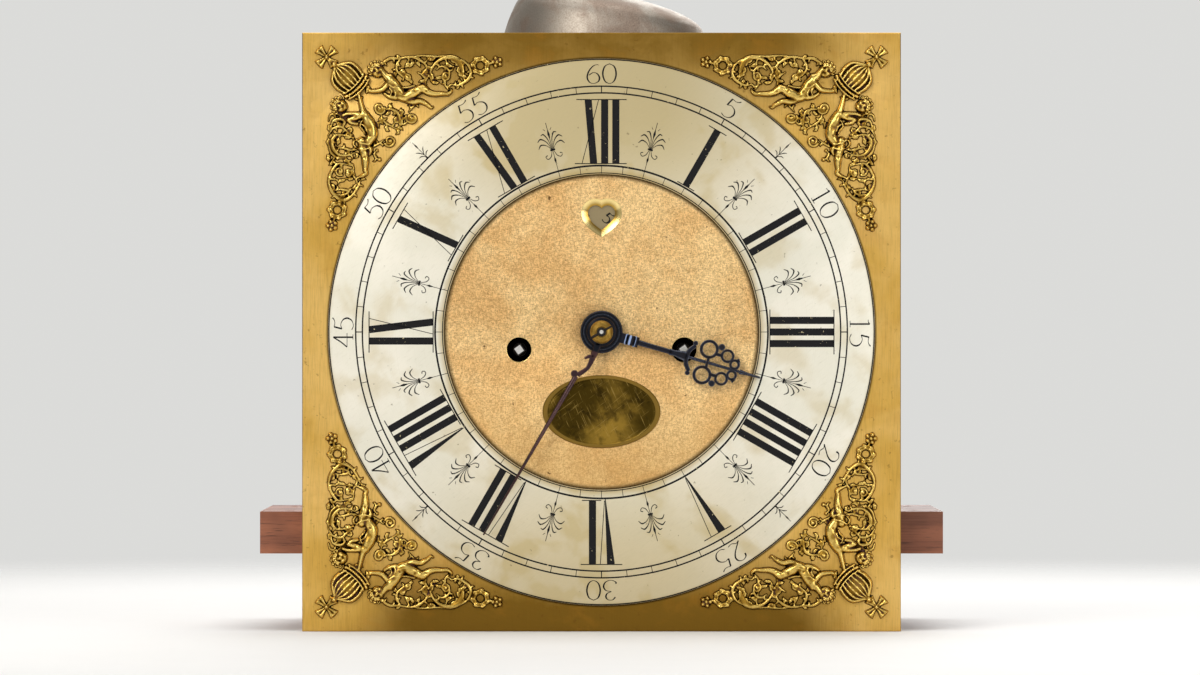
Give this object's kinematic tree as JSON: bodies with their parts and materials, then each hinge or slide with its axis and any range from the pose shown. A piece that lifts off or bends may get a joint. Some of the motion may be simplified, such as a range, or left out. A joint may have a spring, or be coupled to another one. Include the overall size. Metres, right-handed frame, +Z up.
{
  "type": "longcase clock dial and movement",
  "caption": "Square brass clock dial with silvered chapter ring, pierced corner castings and blued hands, on a weight-driven striking movement with bell and wooden seatboard.",
  "frame": {"origin": "middle of the seatboard's underside", "axes": "+Z up, the dial faces -Y, +X to the right as seen from in front of the dial"},
  "size_m": [0.35, 0.1924, 0.3328],
  "materials": {
    "dial_brass": "brushed, aged gold",
    "silvered_brass": "silvered, aged",
    "cast_brass": "cast and chased, gilt and worn",
    "plaque_brass": "dull, darkened",
    "frame_brass": "satin",
    "wheel_brass": "satin",
    "polished_brass": "polished",
    "blued_steel": "blued",
    "purple_steel": "blued to purple brown",
    "steel": "satin, oiled",
    "polished_steel": "polished",
    "spring_steel": "tempered",
    "iron": "forged, dark",
    "bell_metal": "bell metal, tarnished",
    "board_wood": "old reddish brown board, waxed"
  },
  "bodies": {
    "frame": {"dial_plate": "dial_brass", "chapter_ring": "silvered_brass", "spandrel_top_left": "cast_brass", "spandrel_top_right": "cast_brass", "spandrel_bottom_left": "cast_brass", "spandrel_bottom_right": "cast_brass", "spandrel_screws": "steel", "name_plaque": "plaque_brass", "dial_feet": "frame_brass", "dial_foot_pins": "steel", "calendar_keeps": "steel", "hour_bridge": "frame_brass", "front_studs": "steel", "rack_spring": "spring_steel", "front_plate": "frame_brass", "back_plate": "frame_brass", "pillars": "frame_brass", "pillar_pins": "steel", "seatboard": "board_wood", "seatboard_bolts": "iron", "bell": "bell_metal", "bell_stand": "iron", "bell_nut": "iron", "back_cock": "frame_brass", "hammer_spring": "spring_steel"},
    "centre_train": {"centre_arbor": "polished_steel", "centre_wheel": "wheel_brass", "cannon_wheel": "wheel_brass", "minute_hand": "purple_steel", "hand_collet": "polished_brass", "hand_pin": "polished_steel"},
    "hour_train": {"hour_wheel": "wheel_brass", "hour_snail": "wheel_brass", "hour_hand": "blued_steel"},
    "minute_work": {"reverse_minute_wheel": "wheel_brass"},
    "day_work": {"calendar_wheel": "wheel_brass"},
    "calendar": {"calendar_ring": "silvered_brass"},
    "going_great": {"going_great_wheel": "wheel_brass"},
    "going_drum": {"going_barrel": "wheel_brass", "going_arbor": "polished_steel"},
    "going_pawl": {"going_click": "steel"},
    "third": {"third_wheel": "wheel_brass"},
    "escape": {"escape_wheel": "wheel_brass"},
    "verge": {"anchor": "polished_steel", "anchor_arbor": "steel"},
    "strike_great": {"strike_great_wheel": "wheel_brass"},
    "strike_drum": {"strike_barrel": "wheel_brass", "strike_arbor": "polished_steel"},
    "strike_pawl": {"strike_click": "steel"},
    "pin_train": {"pin_wheel": "wheel_brass"},
    "pallet_train": {"pallet_wheel": "wheel_brass", "gathering_pallet": "polished_steel"},
    "warning": {"warning_wheel": "wheel_brass"},
    "fly_train": {"fly": "wheel_brass"},
    "hammer_lever": {"hammer": "steel"},
    "rack_lever": {"rack": "steel"},
    "hook_lever": {"rack_hook": "steel"},
    "lifting_lever": {"lifting_piece": "steel"}
  },
  "joints": [
    {"name": "minute_spin", "type": "hinge", "parent": "frame", "child": "centre_train", "pos_m": [0, 0, 0.1135], "axis": [0, 1, 0], "continuous": true},
    {"name": "hour_spin", "type": "hinge", "parent": "frame", "child": "hour_train", "pos_m": [0, 0, 0.1135], "axis": [0, 1, 0], "continuous": true},
    {"name": "minute_wheel_spin", "type": "hinge", "parent": "frame", "child": "minute_work", "pos_m": [0.02263, 0, 0.13613], "axis": [0, 1, 0], "continuous": true},
    {"name": "day_wheel_spin", "type": "hinge", "parent": "frame", "child": "day_work", "pos_m": [0, 0, 0.1423], "axis": [0, 1, 0], "continuous": true},
    {"name": "calendar_spin", "type": "hinge", "parent": "frame", "child": "calendar", "pos_m": [0, 0, 0.1135], "axis": [0, 1, 0], "continuous": true},
    {"name": "going_great_spin", "type": "hinge", "parent": "frame", "child": "going_great", "pos_m": [0.042, 0, 0.1045], "axis": [0, 1, 0], "continuous": true},
    {"name": "going_winding", "type": "hinge", "parent": "going_great", "child": "going_drum", "pos_m": [0.042, 0, 0.1045], "axis": [0, 1, 0], "continuous": true},
    {"name": "going_click_lift", "type": "hinge", "parent": "going_great", "child": "going_pawl", "pos_m": [0.06109, 0, 0.12359], "axis": [0, 1, 0], "range_deg": [-5, 0], "stiffness_Nm_per_rad": 0.02, "springref_deg": 17.19},
    {"name": "third_spin", "type": "hinge", "parent": "frame", "child": "third", "pos_m": [0.00841, 0, 0.13937], "axis": [0, 1, 0], "continuous": true},
    {"name": "escape_spin", "type": "hinge", "parent": "frame", "child": "escape", "pos_m": [0, 0, 0.15975], "axis": [0, 1, 0], "continuous": true},
    {"name": "anchor_swing", "type": "hinge", "parent": "frame", "child": "verge", "pos_m": [0, 0, 0.1838], "axis": [0, 1, 0], "range_deg": [-2.5, 2.5]},
    {"name": "pallet_spin", "type": "hinge", "parent": "frame", "child": "pallet_train", "pos_m": [-0.04003, 0, 0.16499], "axis": [0, 1, 0], "continuous": true},
    {"name": "pin_wheel_spin", "type": "hinge", "parent": "frame", "child": "pin_train", "pos_m": [-0.04601, 0, 0.13867], "axis": [0, 1, 0], "continuous": true},
    {"name": "strike_great_spin", "type": "hinge", "parent": "frame", "child": "strike_great", "pos_m": [-0.042, 0, 0.1045], "axis": [0, 1, 0], "continuous": true},
    {"name": "strike_winding", "type": "hinge", "parent": "strike_great", "child": "strike_drum", "pos_m": [-0.042, 0, 0.1045], "axis": [0, 1, 0], "continuous": true},
    {"name": "strike_click_lift", "type": "hinge", "parent": "strike_great", "child": "strike_pawl", "pos_m": [-0.02291, 0, 0.12359], "axis": [0, 1, 0], "range_deg": [-5, 0], "stiffness_Nm_per_rad": 0.02, "springref_deg": 17.19},
    {"name": "warning_spin", "type": "hinge", "parent": "frame", "child": "warning", "pos_m": [-0.02154, 0, 0.16889], "axis": [0, 1, 0], "continuous": true},
    {"name": "fly_spin", "type": "hinge", "parent": "frame", "child": "fly_train", "pos_m": [-0.02914, 0, 0.1832], "axis": [0, 1, 0], "continuous": true},
    {"name": "hammer_swing", "type": "hinge", "parent": "frame", "child": "hammer_lever", "pos_m": [-0.07, 0, 0.1615], "axis": [0, 1, 0], "range_deg": [-12, 0], "stiffness_Nm_per_rad": 0.15, "springref_deg": 20.05},
    {"name": "rack_swing", "type": "hinge", "parent": "frame", "child": "rack_lever", "pos_m": [-0.03, 0, 0.0795], "axis": [0, 1, 0], "range_deg": [-19.9, 0]},
    {"name": "lifting_swing", "type": "hinge", "parent": "frame", "child": "lifting_lever", "pos_m": [0.062, 0, 0.1435], "axis": [0, 1, 0], "range_deg": [0, 3]},
    {"name": "hook_swing", "type": "hinge", "parent": "frame", "child": "hook_lever", "pos_m": [0.008, 0, 0.1755], "axis": [0, 1, 0], "range_deg": [0, 8.8]}
  ],
  "couplings": [
    {"joint": "hour_spin", "follows": "minute_spin", "ratio": 0.083333},
    {"joint": "minute_wheel_spin", "follows": "minute_spin", "ratio": -1},
    {"joint": "day_wheel_spin", "follows": "minute_spin", "ratio": -0.041667},
    {"joint": "going_great_spin", "follows": "minute_spin", "ratio": -0.083333},
    {"joint": "third_spin", "follows": "minute_spin", "ratio": -7.5},
    {"joint": "escape_spin", "follows": "minute_spin", "ratio": 60},
    {"joint": "pin_wheel_spin", "follows": "pallet_spin", "ratio": -0.125},
    {"joint": "strike_great_spin", "follows": "pallet_spin", "ratio": 0.012821},
    {"joint": "warning_spin", "follows": "pallet_spin", "ratio": -8},
    {"joint": "fly_spin", "follows": "pallet_spin", "ratio": 64},
    {"joint": "hook_swing", "follows": "lifting_swing", "ratio": 2.9}
  ]
}
